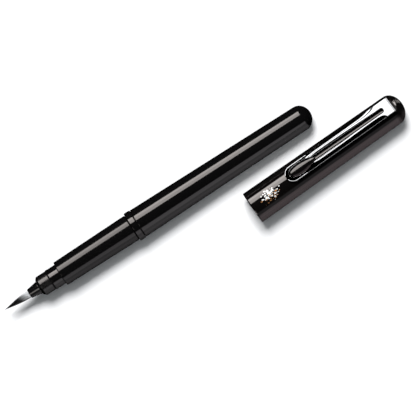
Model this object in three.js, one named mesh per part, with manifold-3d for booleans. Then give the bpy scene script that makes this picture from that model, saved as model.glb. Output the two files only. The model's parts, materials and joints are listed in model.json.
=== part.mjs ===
// A refillable pocket brush pen, lying on a table with its cap off beside it.
// Millimetres, +Z up. The pen and the cap are each drawn along their own X axis:
// the pen from the tip of its brush to the domed tail, the cap from its mouth to its crown.
// Each is then laid down on the table, and the whole is centred on its own box.
import * as THREE from 'three';
import { mergeVertices } from 'three/addons/utils/BufferGeometryUtils.js';
import Module from 'manifold-3d';

const wasm = await Module();
wasm.setup();

// ---- driving dimensions -------------------------------------------------------------------

// facets round each kind of turned piece
const OUTER_SIDES = 32;
const INNER_SIDES = 20;

// gap left between pieces that touch on the real pen
const GAP = 0.3;

// stations along the pen, from the tip of the brush
const MOUTH = 10.4;
const CONE_END = 14.5;
const COLLAR_STEP = 15.35;
const BEAD = 19.3;
const SECTION_FRONT = 23.3;
const SHOULDER = 53.1;
const BARREL_MOUTH = 55.6;
const DOME_START = 123.3;
const PEN_LENGTH = 127.5;

// outer radii along the pen
const TUFT_RADIUS = 1.36;
const TUFT_SWELL = 1.7;
const CONE_RADIUS = [1.7, 2.36];
const COLLAR_RADIUS = 3.71;
const BEAD_RADIUS = 3.95;
const COLLAR_REAR_RADIUS = 3.82;
const SECTION_RADIUS = [4.66, 4.99];
const RING_RADIUS = 5.6;
const RING_POCKET = 5.05;
const BARREL_RADIUS = [5.43, 4.64];

// bore of the barrel: a straight mouth, a long taper and a stepped blind end
const BARREL_BORE = 4.45;
const BARREL_TAPER = [4.28, 3.5];
const BARREL_TAPER_END = 121;
const BARREL_BORE_END = 125.6;

// joint between section and barrel
const SPIGOT_RADIUS = 3.95;
const THREAD_ROOT = 3.6;
const THREAD_PITCH = 1.25;
const THREAD_TURNS = 5;
const THREAD_START = 56.15;
const SPIGOT_END = 62.4;
const SEAL_CENTRE = 4.5;
const SEAL_THICKNESS = 0.28;
const SECTION_BORE = 3.4;
const NECK_BORE = 2.75;
const BORE_STEP = 50.5;

// ink supply
const COLLAR_BORE = 2.45;
const COLLAR_SPIGOT_END = 29;
const COLLAR_NOSE = 2.8;
const CONE_SPIGOT_END = 18.4;
const CONE_BORE = 1.6;
const TUFT_ROOT = [1.15, 1.3];
const TUFT_SOCKET = 14.2;
const TUFT_END = 16.2;
const TUBE_FRONT = 14.5;
const TUBE_REAR = 46.2;
const TUBE_BORE = 0.28;
const FEED_FRONT = 16.6;
const FEED_STEP = 18.7;
const FEED_NOSE = 1.3;
const FEED_REAR = 46;
const FEED_CORE = 2;
const FEED_BORE = 0.85;
const FEED_FINS = 8;
const FIN_PITCH = 2;
const TUBE_RADIUS = 0.55;
const PLUG_FRONT = 46.5;
const NIPPLE_RADIUS = 1.15;
const NIPPLE_BORE = 0.55;
const NIPPLE_END = 61;
const CARTRIDGE_RADIUS = 3.1;
const CARTRIDGE_NECK = 2.4;
const CARTRIDGE_FRONT = 58.8;
const CARTRIDGE_NECK_BORE = 1.5;
const CARTRIDGE_WALL = 0.5;
const CARTRIDGE_END = 113;
const BALL_RADIUS = 1.1;
const INK_LEVEL = 0.9;

// cap, from its mouth
const CAP_RADIUS = [6.05, 5.6];
const CAP_BORE = [5.3, 4.87];
const CAP_SHELL_END = 59.4;
const CROWN_RIM = 59.7;
const CAP_LENGTH = 63.9;
const CROWN_RINGS = 4;
const CROWN_SPIGOT = 4.55;
const INNER_CAP_MOUTH = 30.9;
const INNER_CAP_END = 55.2;
const INNER_CAP_RADIUS = 4.5;
const INNER_CAP_BORE = 4.15;
const CAP_SEAL_RADIUS = [4.1, 4.7];
const CAP_SEAL_LENGTH = 0.65;

// clip, in the cap's own length and height above the cap's axis
const CLIP_FOOT = 15.4;
const CLIP_HEAD = 60.4;
const CLIP_HALF_WIDTH = 2.95;
const CLIP_UNDERSIDE = 6.95;
const CLIP_THICKNESS = 0.6;
const CLIP_FOLD = 0.9;
const SLOT_END = 56.7;
const SLOT_HALF_WIDTH = 0.8;
const TANG_HALF_WIDTH = 1.8;
const TANG_DEPTH = 3.6;
const TANG_ROOM = 0.45;
const DROP_FOOT = 17;
const DROP_LENGTH = 10.7;
const DROP_HALF_WIDTH = 1.8;
const DROP_TOP = 8.4;
const DROP_BEVEL = 0.45;

// how the two lie on the table
const CAP_MOUTH_AT = [92.2, -17.3];
const CAP_YAW = THREE.MathUtils.degToRad(2.15);
const CLIP_ROLL = THREE.MathUtils.degToRad(16);

// ---- materials ----------------------------------------------------------------------------

function finish(color, roughness, metalness = 0) {
  return new THREE.MeshStandardMaterial({ color, roughness, metalness });
}

const blackGloss = 0x0b0a0b;

// ---- tools for making solids --------------------------------------------------------------

// turns a closed three.js geometry into a solid whose faces point outwards
function solid(geometry) {
  geometry.deleteAttribute('normal');
  geometry.deleteAttribute('uv');
  const merged = mergeVertices(geometry, 1e-4);
  const spots = merged.attributes.position.array;
  const corners = [];
  for (let i = 0; i < merged.index.count; i += 3) {
    const [a, b, c] = merged.index.array.slice(i, i + 3);
    if (a !== b && b !== c && c !== a) corners.push(a, b, c);
  }
  const inward = signedVolume(spots, corners) < 0;
  if (inward) corners.reverse();
  return new wasm.Manifold(new wasm.Mesh({
    numProp: 3,
    vertProperties: new Float32Array(spots),
    triVerts: new Uint32Array(corners),
  }));
}

function signedVolume(spots, corners) {
  const [a, b, c] = [new THREE.Vector3(), new THREE.Vector3(), new THREE.Vector3()];
  let sum = 0;
  for (let i = 0; i < corners.length; i += 3) {
    a.fromArray(spots, corners[i] * 3);
    b.fromArray(spots, corners[i + 1] * 3);
    c.fromArray(spots, corners[i + 2] * 3);
    sum += a.dot(b.cross(c));
  }
  return sum / 6;
}

function mesh(name, body, material) {
  const { vertProperties, triVerts } = body.getMesh();
  const geometry = new THREE.BufferGeometry();
  geometry.setAttribute('position', new THREE.BufferAttribute(vertProperties, 3));
  geometry.setIndex(new THREE.BufferAttribute(triVerts, 1));
  geometry.computeVertexNormals();
  const piece = new THREE.Mesh(geometry, material);
  piece.name = name;
  return piece;
}

// a solid of revolution about X: its outline is [x, radius] points, and it either starts and
// ends on the axis or is closed here into a ring; one facet faces straight down
function turned(outline, sides = OUTER_SIDES) {
  const points = outline.map(([x, radius]) => new THREE.Vector2(radius, x));
  if (outline[0][1] > 0) points.push(points[0].clone());
  const geometry = new THREE.LatheGeometry(points, sides, Math.PI / sides);
  geometry.rotateZ(-Math.PI / 2);
  return solid(geometry);
}

// a straight-sided block between two corners
function block(low, high) {
  const size = high.map((value, axis) => value - low[axis]);
  const geometry = new THREE.BoxGeometry(...size);
  geometry.translate(...size.map((value, axis) => low[axis] + value / 2));
  return solid(geometry);
}

// quarter of an ellipse from full radius at x to the axis at x + depth
function domePoints(x, depth, radius, steps = 6) {
  return Array.from({ length: steps + 1 }, (_, i) => {
    const angle = (i / steps) * Math.PI / 2;
    const height = i === steps ? 0 : radius * Math.cos(angle);
    return [x + depth * Math.sin(angle), height];
  });
}

// ---- barrel side --------------------------------------------------------------------------

function barrel() {
  const chamfer = 0.3;
  const outside = domePoints(DOME_START, PEN_LENGTH - DOME_START, BARREL_RADIUS[1]).reverse();
  return mesh('barrel', turned([
    ...outside,
    [BARREL_MOUTH + chamfer, BARREL_RADIUS[0]],
    [BARREL_MOUTH, BARREL_RADIUS[0] - chamfer],
    [BARREL_MOUTH, BARREL_BORE],
    [SPIGOT_END + 1, BARREL_BORE],
    [SPIGOT_END + 1.3, BARREL_TAPER[0]],
    [BARREL_TAPER_END, BARREL_TAPER[1]],
    [BARREL_BORE_END - 2, 3],
    [BARREL_BORE_END - 0.4, 1.6],
    [BARREL_BORE_END, 0],
  ]), finish(blackGloss, 0.12));
}

function stepRing() {
  const front = SHOULDER + GAP;
  const rear = BARREL_MOUTH - GAP;
  const chamfer = 0.25;
  const lip = 0.35;
  const bore = SPIGOT_RADIUS + 0.35;
  return mesh('step_ring', turned([
    [front, RING_POCKET],
    [front, RING_RADIUS - chamfer],
    [front + chamfer, RING_RADIUS],
    [rear - chamfer, RING_RADIUS],
    [rear, RING_RADIUS - chamfer],
    [rear, bore],
    [rear - lip, bore],
    [rear - lip, RING_POCKET],
  ]), finish(blackGloss, 0.15));
}

function jointSeal() {
  const x = SHOULDER + 1.05;
  const section = Array.from({ length: 8 }, (_, i) => {
    const angle = i * Math.PI / 4;
    return [
      x + SEAL_THICKNESS * Math.cos(angle),
      SEAL_CENTRE + SEAL_THICKNESS * Math.sin(angle),
    ];
  });
  return mesh('joint_seal', turned(section, INNER_SIDES), finish(0x1a1a1a, 0.8));
}

// ---- section side -------------------------------------------------------------------------

// the ridges of the male thread, as plain rings one pitch apart
function threadRidges() {
  const points = [];
  for (let turn = 0; turn < THREAD_TURNS; turn += 1) {
    const x = THREAD_START + 0.1 + turn * THREAD_PITCH;
    points.push([x, THREAD_ROOT], [x + 0.35, SPIGOT_RADIUS], [x + 0.6, SPIGOT_RADIUS]);
    points.push([x + 0.95, THREAD_ROOT]);
  }
  return points;
}

function sectionShell() {
  const edge = 0.22;
  return mesh('section_shell', turned([
    [SECTION_FRONT, SECTION_BORE],
    [SECTION_FRONT, SECTION_RADIUS[0] - edge],
    [SECTION_FRONT + edge, SECTION_RADIUS[0]],
    [SHOULDER - edge, SECTION_RADIUS[1]],
    [SHOULDER, SECTION_RADIUS[1] - edge],
    [SHOULDER, SPIGOT_RADIUS],
    [THREAD_START, SPIGOT_RADIUS],
    ...threadRidges(),
    [SPIGOT_END, THREAD_ROOT],
    [SPIGOT_END, NECK_BORE],
    [BORE_STEP, NECK_BORE],
    [BORE_STEP, SECTION_BORE],
  ]), finish(blackGloss, 0.14));
}

function tipCollar() {
  const front = CONE_END + GAP;
  const bead = 0.7;
  const rear = SECTION_FRONT - GAP;
  const spigot = SECTION_BORE - GAP;
  return mesh('tip_collar', turned([
    [front, COLLAR_BORE],
    [front, COLLAR_NOSE],
    [COLLAR_STEP, COLLAR_RADIUS],
    [BEAD, COLLAR_RADIUS],
    [BEAD + 0.1, BEAD_RADIUS],
    [BEAD + bead - 0.1, BEAD_RADIUS],
    [BEAD + bead, COLLAR_REAR_RADIUS],
    [rear, COLLAR_REAR_RADIUS],
    [rear, spigot],
    [COLLAR_SPIGOT_END, spigot],
    [COLLAR_SPIGOT_END, COLLAR_BORE],
  ]), finish(blackGloss, 0.15));
}

function noseCone() {
  const spigot = COLLAR_BORE - 0.35;
  const lip = CONE_BORE - 0.15;
  return mesh('nose_cone', turned([
    [MOUTH, lip],
    [MOUTH, CONE_RADIUS[0] - 0.1],
    [MOUTH + 0.1, CONE_RADIUS[0]],
    [CONE_END - 0.15, CONE_RADIUS[1]],
    [CONE_END, CONE_RADIUS[1] - 0.15],
    [CONE_END, spigot],
    [CONE_SPIGOT_END, spigot],
    [CONE_SPIGOT_END, CONE_BORE],
    [MOUTH + 0.5, CONE_BORE],
    [MOUTH + 0.25, lip],
  ], 24), finish(blackGloss, 0.2));
}

function brushTuft() {
  const steps = 8;
  const root = MOUTH - GAP;
  const profile = Array.from({ length: steps + 1 }, (_, i) => {
    const along = i / steps;
    const swell = Math.sin(along * root / MOUTH * Math.PI / 2) ** TUFT_SWELL;
    return [along * root, TUFT_RADIUS * swell];
  });
  return mesh('brush_tuft', turned([...profile, [root, 0]], 16), finish(0x8a8a8a, 0.7));
}

function tuftBase() {
  return mesh('tuft_base', turned([
    [MOUTH + GAP, 0],
    [MOUTH + GAP, TUFT_ROOT[0]],
    [TUFT_SOCKET - 0.4, TUFT_ROOT[1]],
    [TUFT_END, TUFT_ROOT[1]],
    [TUFT_END, FEED_BORE],
    [TUFT_SOCKET, FEED_BORE],
    [TUFT_SOCKET, 0],
  ], 16), finish(0xd8d4cc, 0.5));
}

function feedTube() {
  return mesh('feed_tube', turned([
    [TUBE_FRONT, TUBE_BORE],
    [TUBE_FRONT, TUBE_RADIUS],
    [TUBE_REAR, TUBE_RADIUS],
    [TUBE_REAR, TUBE_BORE],
  ], 12), finish(0xe8e8e4, 0.35));
}

function feed() {
  const stem = COLLAR_BORE - 0.35;
  const fin = SECTION_BORE - 0.35;
  const finThickness = 0.6;
  const finsStart = COLLAR_SPIGOT_END + GAP;
  const outline = [
    [FEED_FRONT, FEED_BORE],
    [FEED_FRONT, FEED_NOSE],
    [FEED_STEP, FEED_NOSE],
    [FEED_STEP, stem],
    [finsStart, stem],
  ];
  for (let i = 0; i < FEED_FINS; i += 1) {
    const x = finsStart + 0.1 + i * FIN_PITCH;
    outline.push([x, FEED_CORE], [x, fin]);
    outline.push([x + finThickness, fin], [x + finThickness, FEED_CORE]);
  }
  outline.push([FEED_REAR, FEED_CORE], [FEED_REAR, FEED_BORE]);
  return mesh('feed', turned(outline, INNER_SIDES), finish(0x202020, 0.5));
}

function cartridgeSpigot() {
  const back = BORE_STEP - GAP;
  const disc = SECTION_BORE - 0.35;
  return mesh('cartridge_spigot', turned([
    [PLUG_FRONT, NIPPLE_BORE],
    [PLUG_FRONT, disc],
    [back, disc],
    [back, NIPPLE_RADIUS],
    [NIPPLE_END - 0.6, NIPPLE_RADIUS],
    [NIPPLE_END, NIPPLE_RADIUS - 0.3],
    [NIPPLE_END, NIPPLE_BORE],
  ], INNER_SIDES), finish(0x1c1c1c, 0.4));
}

// ---- cartridge ----------------------------------------------------------------------------

function cartridgeBody() {
  const shoulder = SPIGOT_END;
  const inside = CARTRIDGE_RADIUS - CARTRIDGE_WALL;
  return mesh('cartridge_body', turned([
    [CARTRIDGE_END, 0],
    [CARTRIDGE_END, CARTRIDGE_RADIUS - 0.5],
    [CARTRIDGE_END - 0.5, CARTRIDGE_RADIUS],
    [shoulder + 0.8, CARTRIDGE_RADIUS],
    [shoulder, CARTRIDGE_NECK],
    [CARTRIDGE_FRONT + GAP, CARTRIDGE_NECK],
    [CARTRIDGE_FRONT, CARTRIDGE_NECK - 0.3],
    [CARTRIDGE_FRONT, CARTRIDGE_NECK_BORE],
    [shoulder + 0.8, CARTRIDGE_NECK_BORE],
    [shoulder + 1.8, inside],
    [CARTRIDGE_END - 0.8, inside],
    [CARTRIDGE_END - 0.8, 0],
  ], INNER_SIDES), finish(0xc9cdd0, 0.3));
}

function cartridgeBall() {
  const lowest = CARTRIDGE_RADIUS - CARTRIDGE_WALL - GAP;
  const geometry = new THREE.SphereGeometry(BALL_RADIUS, 12, 8);
  geometry.translate(SPIGOT_END + 3.4, 0, BALL_RADIUS - lowest);
  return mesh('cartridge_ball', solid(geometry), finish(0xb8bcc0, 0.2, 0.9));
}

// the ink lies in the lower part of the cartridge, with a level surface
function inkCharge() {
  const radius = CARTRIDGE_RADIUS - CARTRIDGE_WALL - GAP;
  const front = SPIGOT_END + 4.8;
  const rear = CARTRIDGE_END - 1.1;
  const column = turned([[front, 0], [front, radius], [rear, radius], [rear, 0]], INNER_SIDES);
  const air = block([front - 1, -radius * 2, INK_LEVEL], [rear + 1, radius * 2, radius * 2]);
  return mesh('ink_charge', column.subtract(air), finish(0x08080c, 0.1));
}

// ---- cap ----------------------------------------------------------------------------------

function capShell() {
  const edge = 0.2;
  return mesh('cap_shell', turned([
    [0, CAP_BORE[0]],
    [0, CAP_RADIUS[0] - edge],
    [edge, CAP_RADIUS[0]],
    [CAP_SHELL_END - edge, CAP_RADIUS[1]],
    [CAP_SHELL_END, CAP_RADIUS[1] - edge],
    [CAP_SHELL_END, CAP_BORE[1]],
  ]), finish(0x0d0b0c, 0.12));
}

// the crown's dome rises in shallow ring-shaped steps
function crownDome() {
  const depth = CAP_LENGTH - CROWN_RIM;
  const points = [];
  const riser = 0.16;
  for (let ring = 0; ring < CROWN_RINGS; ring += 1) {
    const angle = (0.3 + 0.8 * ring / CROWN_RINGS) * Math.PI / 2.4;
    const x = CROWN_RIM + depth * Math.sin(angle);
    const radius = CAP_RADIUS[1] * Math.cos(angle);
    points.push([x - riser, radius], [x - riser, radius - riser]);
  }
  return [
    [CROWN_RIM, CAP_RADIUS[1] - 0.2],
    [CROWN_RIM + 0.2, CAP_RADIUS[1]],
    ...points,
    [CAP_LENGTH - 0.25, 1.6],
    [CAP_LENGTH, 0],
  ];
}

function crown() {
  const spigotFront = INNER_CAP_END + 0.4;
  const body = turned([
    [spigotFront, 0],
    [spigotFront, CROWN_SPIGOT - 0.3],
    [spigotFront + 0.3, CROWN_SPIGOT],
    [CROWN_RIM, CROWN_SPIGOT],
    ...crownDome(),
  ]);
  const half = TANG_HALF_WIDTH + TANG_ROOM;
  const back = CLIP_HEAD - CLIP_THICKNESS - TANG_ROOM;
  const pocket = block(
    [back, -half, TANG_DEPTH - TANG_ROOM],
    [CLIP_HEAD + TANG_ROOM, half, 2 * CAP_RADIUS[1]],
  ).rotate(turnAboutAxis());
  return mesh('crown', body.subtract(pocket), finish(0x0d0b0c, 0.16));
}

function innerCap() {
  return mesh('inner_cap', turned([
    [INNER_CAP_END, 0],
    [INNER_CAP_END, INNER_CAP_RADIUS - 0.3],
    [INNER_CAP_END - 0.3, INNER_CAP_RADIUS],
    [INNER_CAP_MOUTH, INNER_CAP_RADIUS],
    [INNER_CAP_MOUTH, INNER_CAP_BORE],
    [INNER_CAP_END - 0.8, INNER_CAP_BORE],
    [INNER_CAP_END - 0.8, 0],
  ], 24), finish(0xbfc1c2, 0.4));
}

function innerCapSeal() {
  const rear = INNER_CAP_MOUTH - GAP;
  const front = rear - CAP_SEAL_LENGTH;
  return mesh('inner_cap_seal', turned([
    [front, CAP_SEAL_RADIUS[0]],
    [front, CAP_SEAL_RADIUS[1]],
    [rear, CAP_SEAL_RADIUS[1]],
    [rear, CAP_SEAL_RADIUS[0]],
  ], 24), finish(0x2a2a2a, 0.8));
}

// ---- clip ---------------------------------------------------------------------------------

function turnAboutAxis() {
  return [-THREE.MathUtils.radToDeg(CLIP_ROLL), 0, 0];
}

// half width of the drop, which is round at the foot and runs out to a point
function dropHalfWidth(along) {
  const sharpness = 0.8;
  const fullest = 0.5 / (0.5 + sharpness);
  const scale = Math.sqrt(fullest) * (1 - fullest) ** sharpness;
  return DROP_HALF_WIDTH * Math.sqrt(along) * (1 - along) ** sharpness / scale;
}

// one side of the drop from its foot to its point
function dropSide(steps = 8) {
  return Array.from({ length: steps - 1 }, (_, i) => {
    const along = ((i + 1) / steps) ** 1.4;
    return new THREE.Vector2(DROP_FOOT + DROP_LENGTH * along, dropHalfWidth(along));
  });
}

function mirrored(points) {
  return points.map(({ x, y }) => new THREE.Vector2(x, -y)).reverse();
}

// the opening of the clip: the drop's seat, which runs on into the slot
function clipOpening() {
  const room = GAP;
  const side = dropSide().map(({ x, y }) => new THREE.Vector2(x, y + room));
  const wide = side.filter(({ y }) => y > SLOT_HALF_WIDTH);
  const round = Array.from({ length: 7 }, (_, i) => {
    const angle = Math.PI / 2 - i * Math.PI / 6;
    return new THREE.Vector2(
      SLOT_END - SLOT_HALF_WIDTH * (1 - Math.cos(angle)),
      SLOT_HALF_WIDTH * Math.sin(angle),
    );
  });
  const foot = new THREE.Vector2(DROP_FOOT - room, 0);
  return new THREE.Path([foot, ...wide, ...round, ...mirrored(wide)]);
}

function clipBlade() {
  const blade = new THREE.Shape();
  const middle = CLIP_FOOT + CLIP_HALF_WIDTH;
  blade.moveTo(CLIP_HEAD - CLIP_FOLD, -CLIP_HALF_WIDTH);
  blade.lineTo(CLIP_HEAD - CLIP_FOLD, CLIP_HALF_WIDTH);
  blade.lineTo(middle, CLIP_HALF_WIDTH);
  blade.absarc(middle, 0, CLIP_HALF_WIDTH, Math.PI / 2, 3 * Math.PI / 2, false);
  blade.holes.push(clipOpening());
  const geometry = new THREE.ExtrudeGeometry(blade, {
    depth: CLIP_THICKNESS,
    bevelEnabled: false,
    curveSegments: 10,
  });
  geometry.translate(0, 0, CLIP_UNDERSIDE);
  return solid(geometry);
}

// the clip's head turns down in a quarter round over the joint of crown and cap
function clipHead() {
  const top = CLIP_UNDERSIDE + CLIP_THICKNESS;
  const inner = CLIP_FOLD - CLIP_THICKNESS;
  const start = CLIP_HEAD - CLIP_FOLD - 0.1;
  const bendAt = [CLIP_HEAD - CLIP_FOLD, top - CLIP_FOLD];
  const end = top - 1.5;
  const bend = new THREE.Shape();
  bend.moveTo(start, CLIP_UNDERSIDE);
  bend.lineTo(bendAt[0], CLIP_UNDERSIDE);
  bend.absarc(bendAt[0], bendAt[1], inner, Math.PI / 2, 0, true);
  bend.lineTo(bendAt[0] + inner, end);
  bend.lineTo(CLIP_HEAD, end);
  bend.lineTo(CLIP_HEAD, bendAt[1]);
  bend.absarc(bendAt[0], bendAt[1], CLIP_FOLD, 0, Math.PI / 2, false);
  bend.lineTo(start, top);
  const geometry = new THREE.ExtrudeGeometry(bend, {
    depth: 2 * CLIP_HALF_WIDTH,
    bevelEnabled: false,
    curveSegments: 5,
  });
  geometry.translate(0, 0, -CLIP_HALF_WIDTH);
  geometry.rotateX(Math.PI / 2);
  return solid(geometry);
}

function clip() {
  const tang = block(
    [CLIP_HEAD - CLIP_THICKNESS, -TANG_HALF_WIDTH, TANG_DEPTH],
    [CLIP_HEAD, TANG_HALF_WIDTH, CLIP_UNDERSIDE - 0.4],
  );
  return mesh('clip', clipBlade().add(clipHead()).add(tang), finish(0xe6e8ea, 0.05, 1));
}

function clipShoe() {
  const inset = DROP_BEVEL;
  const side = dropSide();
  const outline = [
    new THREE.Vector2(DROP_FOOT, 0),
    ...side,
    new THREE.Vector2(DROP_FOOT + DROP_LENGTH, 0),
    ...mirrored(side),
  ];
  const foot = CAP_RADIUS[0] + 0.2;
  const geometry = new THREE.ExtrudeGeometry(new THREE.Shape(outline), {
    depth: DROP_TOP - foot - inset,
    bevelEnabled: true,
    bevelThickness: inset,
    bevelSize: inset,
    bevelOffset: -inset,
    bevelSegments: 2,
  });
  geometry.translate(0, 0, foot);
  const below = block([0, -9, 0], [CAP_LENGTH, 9, foot]);
  return mesh('clip_shoe', solid(geometry).subtract(below), finish(blackGloss, 0.1));
}

// ---- assembly -----------------------------------------------------------------------------

// the height of a facet's middle below the axis, for a radius at the facets' corners
function facetDepth(radius) {
  return radius * Math.cos(Math.PI / OUTER_SIDES);
}

// tilts a turned group until it touches the table at two stations, and lifts it on to it
function layDown(group, [nearX, nearRadius], [farX, farRadius]) {
  const near = facetDepth(nearRadius);
  const far = facetDepth(farRadius);
  const tilt = Math.atan2(near - far, farX - nearX);
  group.rotation.y = tilt;
  group.position.z = nearX * Math.sin(tilt) + near * Math.cos(tilt);
}

const pen = new THREE.Group();
pen.add(barrel(), stepRing(), jointSeal());
pen.add(sectionShell(), tipCollar(), noseCone(), brushTuft(), tuftBase());
pen.add(feed(), feedTube(), cartridgeSpigot());
pen.add(cartridgeBody(), cartridgeBall(), inkCharge());
layDown(pen, [BARREL_MOUTH - GAP - 0.25, RING_RADIUS], [DOME_START, BARREL_RADIUS[1]]);

const clipGroup = new THREE.Group();
clipGroup.add(clip(), clipShoe());
clipGroup.rotation.x = -CLIP_ROLL;

const cap = new THREE.Group();
cap.rotation.order = 'ZYX';
cap.add(capShell(), crown(), innerCap(), innerCapSeal(), clipGroup);
layDown(cap, [0.2, CAP_RADIUS[0]], [CAP_SHELL_END - 0.2, CAP_RADIUS[1]]);
cap.rotation.z = CAP_YAW;
cap.position.x = CAP_MOUTH_AT[0];
cap.position.y = CAP_MOUTH_AT[1];

const brushPen = new THREE.Group();
brushPen.add(pen, cap);
brushPen.updateMatrixWorld(true);
const box = new THREE.Box3().setFromObject(brushPen, true);
const centre = box.getCenter(new THREE.Vector3());
brushPen.position.set(-centre.x, -centre.y, -box.min.z);

export default brushPen;
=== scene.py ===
"""A refillable pocket brush pen with its cap off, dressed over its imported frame.

Lengths inside the builders are in millimetres along each assembly's own axis. A Lay turns them
into metres in the frame.
"""
import functools
import json
import math
import random

import bmesh
import bpy
import numpy as np
from mathutils import Matrix, Vector

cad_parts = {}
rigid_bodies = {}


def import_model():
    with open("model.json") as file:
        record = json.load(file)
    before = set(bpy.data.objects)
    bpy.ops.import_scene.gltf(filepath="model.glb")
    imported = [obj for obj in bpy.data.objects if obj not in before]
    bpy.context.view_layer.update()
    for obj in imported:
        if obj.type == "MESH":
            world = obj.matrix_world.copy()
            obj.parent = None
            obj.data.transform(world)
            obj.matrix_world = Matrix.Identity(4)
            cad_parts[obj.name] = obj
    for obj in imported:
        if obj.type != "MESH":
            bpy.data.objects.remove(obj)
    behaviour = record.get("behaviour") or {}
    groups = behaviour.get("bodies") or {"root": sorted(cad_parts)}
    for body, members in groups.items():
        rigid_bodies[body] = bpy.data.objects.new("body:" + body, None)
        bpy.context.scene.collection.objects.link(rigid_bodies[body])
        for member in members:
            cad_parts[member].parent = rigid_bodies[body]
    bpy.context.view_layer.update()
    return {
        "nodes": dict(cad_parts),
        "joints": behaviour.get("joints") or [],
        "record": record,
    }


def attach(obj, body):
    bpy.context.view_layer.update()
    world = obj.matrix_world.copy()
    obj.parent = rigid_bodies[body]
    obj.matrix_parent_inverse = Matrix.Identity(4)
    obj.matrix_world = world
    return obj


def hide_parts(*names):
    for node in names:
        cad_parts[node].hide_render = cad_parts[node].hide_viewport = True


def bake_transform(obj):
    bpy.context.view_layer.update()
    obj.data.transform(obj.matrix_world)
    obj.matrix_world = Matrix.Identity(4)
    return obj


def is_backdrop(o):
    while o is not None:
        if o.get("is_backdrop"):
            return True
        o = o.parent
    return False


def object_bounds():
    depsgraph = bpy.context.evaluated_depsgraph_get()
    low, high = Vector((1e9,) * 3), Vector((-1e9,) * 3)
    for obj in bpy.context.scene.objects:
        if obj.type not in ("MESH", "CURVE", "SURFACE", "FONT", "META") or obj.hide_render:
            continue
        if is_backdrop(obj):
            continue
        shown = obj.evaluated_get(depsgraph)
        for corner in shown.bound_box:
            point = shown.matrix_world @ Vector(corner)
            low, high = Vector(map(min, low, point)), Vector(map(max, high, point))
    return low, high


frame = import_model()

bl_info = {
    "name": "Pocket Brush Pen",
    "version": (1, 0, 0),
    "blender": (4, 5, 0),
    "location": "View3D > Sidebar > Brush Pen",
    "description": "Builds a pocket brush pen and its cap over a packed frame",
    "category": "Add Mesh",
}

MM = 0.001

# a smooth round sits inside its faceted CAD solid, whose corners carry the full radius
SNUG = math.cos(math.pi / 32)

# gap in mm that the CAD leaves between pieces that are pressed together
GAP = 0.3

# fillet in mm of the rims that meet at the step ring
RIM_FILLET = 0.42

# corners nearer than this, in metres, are welded, and edges sharper than this angle stay crisp
WELD = 2e-7
CREASE = math.radians(42)

# length in mm by which the tuft runs on into the cone, behind its CAD solid
TUFT_HOLD = 0.4


# ---- frames of the pen and the cap ----------------------------------------------------------


class Lay:
    """The axis of a turned assembly: x runs along it, y across it and z upright from it."""

    def __init__(self, origin, along, upright):
        self.along = Vector(along).normalized()
        upright = Vector(upright)
        self.upright = (upright - self.along * upright.dot(self.along)).normalized()
        self.across = self.upright.cross(self.along)
        self.origin = Vector(origin)

    def point(self, x, y, z):
        """Millimetres along, across and upright, as a point in the frame."""
        return self.origin + (self.along * x + self.across * y + self.upright * z) * MM

    @functools.lru_cache(maxsize=None)
    def vertices(self, node):
        """A CAD node's vertices as an array of millimetres along, across and upright."""
        spots = np.array([v.co for v in frame["nodes"][node].data.vertices])
        spots = (spots - np.array(self.origin)) / MM
        return spots @ np.array([self.along, self.across, self.upright]).T

    @functools.lru_cache(maxsize=None)
    def reach(self, node):
        """First and last station of a node, and its largest radius."""
        spots = self.vertices(node)
        girth = np.hypot(spots[:, 1], spots[:, 2])
        return float(spots[:, 0].min()), float(spots[:, 0].max()), float(girth.max())

    def radius(self, node, start, end):
        """Largest radius of a node's corners between two stations."""
        spots = self.vertices(node)
        inside = (spots[:, 0] >= start) & (spots[:, 0] <= end)
        return float(np.hypot(spots[inside, 1], spots[inside, 2]).max())

    def rolled(self, upright):
        """The same axis with another upright direction."""
        return Lay(self.origin, self.along, upright)


def joint(name):
    """A joint of the frame, by name."""
    return next(j for j in frame["joints"] if j["name"] == name)


def mount(name):
    """A mount of the record, by name."""
    return next(m for m in frame["record"]["mounts"] if m["name"] == name)


def pen_lay():
    """The pen's axis, from the tip of its brush to its tail."""
    turn = joint("section_unscrew")
    lay = Lay(turn["pos_m"], -Vector(turn["axis"]), (0, 0, 1))
    tip = lay.vertices("brush_tuft")[:, 0].min()
    return Lay(lay.point(tip, 0, 0), lay.along, lay.upright)


def cap_lay():
    """The cap's axis, from its mouth to its crown."""
    rim = mount("cap_rim")
    lay = Lay(rim["pos_m"], -Vector(rim["axis"]), (0, 0, 1))
    spots = lay.vertices("cap_shell")
    mouth = spots[spots[:, 0] < spots[:, 0].min() + 0.05]
    y, z = (mouth[:, 1:].min(axis=0) + mouth[:, 1:].max(axis=0)) / 2
    return Lay(lay.point(mouth[:, 0].min(), y, z), lay.along, lay.upright)


PEN = pen_lay()
CAP = cap_lay()
CLIP = CAP.rolled(CAP.along.cross(Vector(joint("clip_flex")["axis"])))


# ---- meshes ---------------------------------------------------------------------------------


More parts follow.
